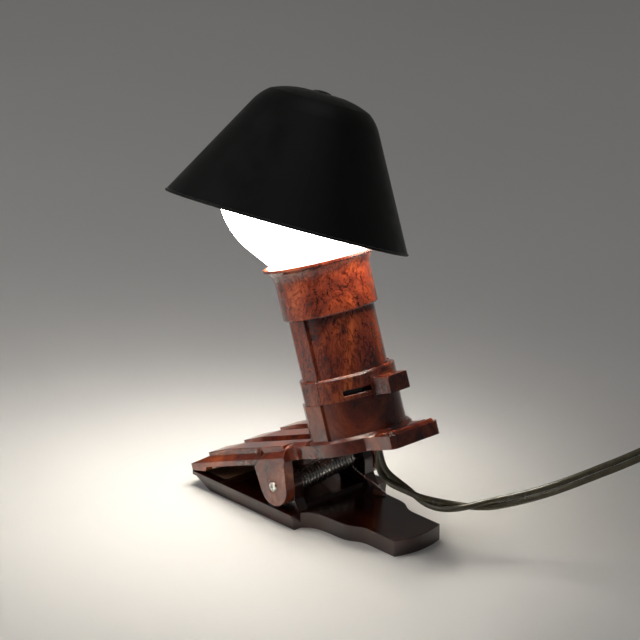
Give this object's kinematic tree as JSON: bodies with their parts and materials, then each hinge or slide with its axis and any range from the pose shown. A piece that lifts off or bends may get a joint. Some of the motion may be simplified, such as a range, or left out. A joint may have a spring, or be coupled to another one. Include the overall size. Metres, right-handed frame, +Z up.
{
  "type": "clip-on lamp",
  "caption": "Spring-jaw clip lamp in marbled brown plastic with an upright lampholder, opal bulb, tilting black metal shade and twin flex.",
  "frame": {"origin": "on the table, straight below the pivot pin of the clamp, on its centre plane", "axes": "+X from the jaws' nose toward the handle, +Y along the pivot pin, +Z up"},
  "size_m": [0.1816, 0.1042, 0.1644],
  "materials": {
    "marbled_plastic": "polished",
    "shade_paint": "satin",
    "opal_glass": "frosted",
    "spring_steel": "satin",
    "brass": "satin",
    "flex_sheath": "satin",
    "insulator": "satin",
    "grip_pad": "matte"
  },
  "bodies": {
    "stand": {"lower_jaw": "marbled_plastic", "lower_grip_pad": "grip_pad", "torsion_spring": "spring_steel", "spring_legs": "spring_steel"},
    "lamp": {"upper_jaw": "marbled_plastic", "upper_grip_pad": "grip_pad", "pivot_pin": "spring_steel", "pin_heads": "spring_steel", "switch_collar": "marbled_plastic", "holder_sleeve": "marbled_plastic", "ceramic_insert": "insulator", "thread_shell": "brass", "centre_contact": "brass", "terminal_screws": "spring_steel", "insert_screws": "spring_steel", "base_cover": "marbled_plastic", "cover_screw": "spring_steel", "cord_grip": "marbled_plastic", "flex_core_a": "flex_sheath", "flex_core_b": "flex_sheath"},
    "knob": {"switch_knob": "marbled_plastic", "switch_rotor": "marbled_plastic"},
    "ring": {"top_ring": "marbled_plastic"},
    "bulb": {"bulb_glass": "opal_glass", "bulb_cap": "brass", "cap_insulator": "insulator", "bulb_tip_contact": "brass", "bulb_stem": "opal_glass", "filament": "spring_steel"},
    "clip": {"wire_clip": "spring_steel", "clip_bracket": "spring_steel", "shade_rivet": "spring_steel"},
    "shade": {"shade": "shade_paint"}
  },
  "joints": [
    {"name": "clamp_open", "type": "hinge", "parent": "stand", "child": "lamp", "pos_m": [0, 0, 0.015], "axis": [0, 1, 0], "range_deg": [0, 24], "stiffness_Nm_per_rad": 0.1, "springref_deg": -28.65, "deforming": ["torsion_spring", "flex_core_a", "flex_core_b", "spring_legs"]},
    {"name": "switch_turn", "type": "hinge", "parent": "lamp", "child": "knob", "pos_m": [0.02251, 0, 0.03251], "axis": [-0.3371, 0, 0.9415], "range_deg": [-34, 0]},
    {"name": "ring_unscrew", "type": "hinge", "parent": "lamp", "child": "ring", "pos_m": [0.02251, 0, 0.03251], "axis": [-0.3371, 0, 0.9415], "continuous": true},
    {"name": "bulb_turn", "type": "hinge", "parent": "lamp", "child": "bulb", "pos_m": [0.02251, 0, 0.03251], "axis": [-0.3371, 0, 0.9415], "continuous": true},
    {"name": "shade_tilt", "type": "hinge", "parent": "bulb", "child": "clip", "pos_m": [-0.01136, 0, 0.12713], "axis": [0.7689, -0.577, 0.2753], "range_deg": [-6, 28.6]},
    {"name": "shade_turn", "type": "hinge", "parent": "clip", "child": "shade", "pos_m": [-0.01243, -0.00098, 0.1275], "axis": [-0.036, 0.3909, 0.9197], "continuous": true}
  ]
}
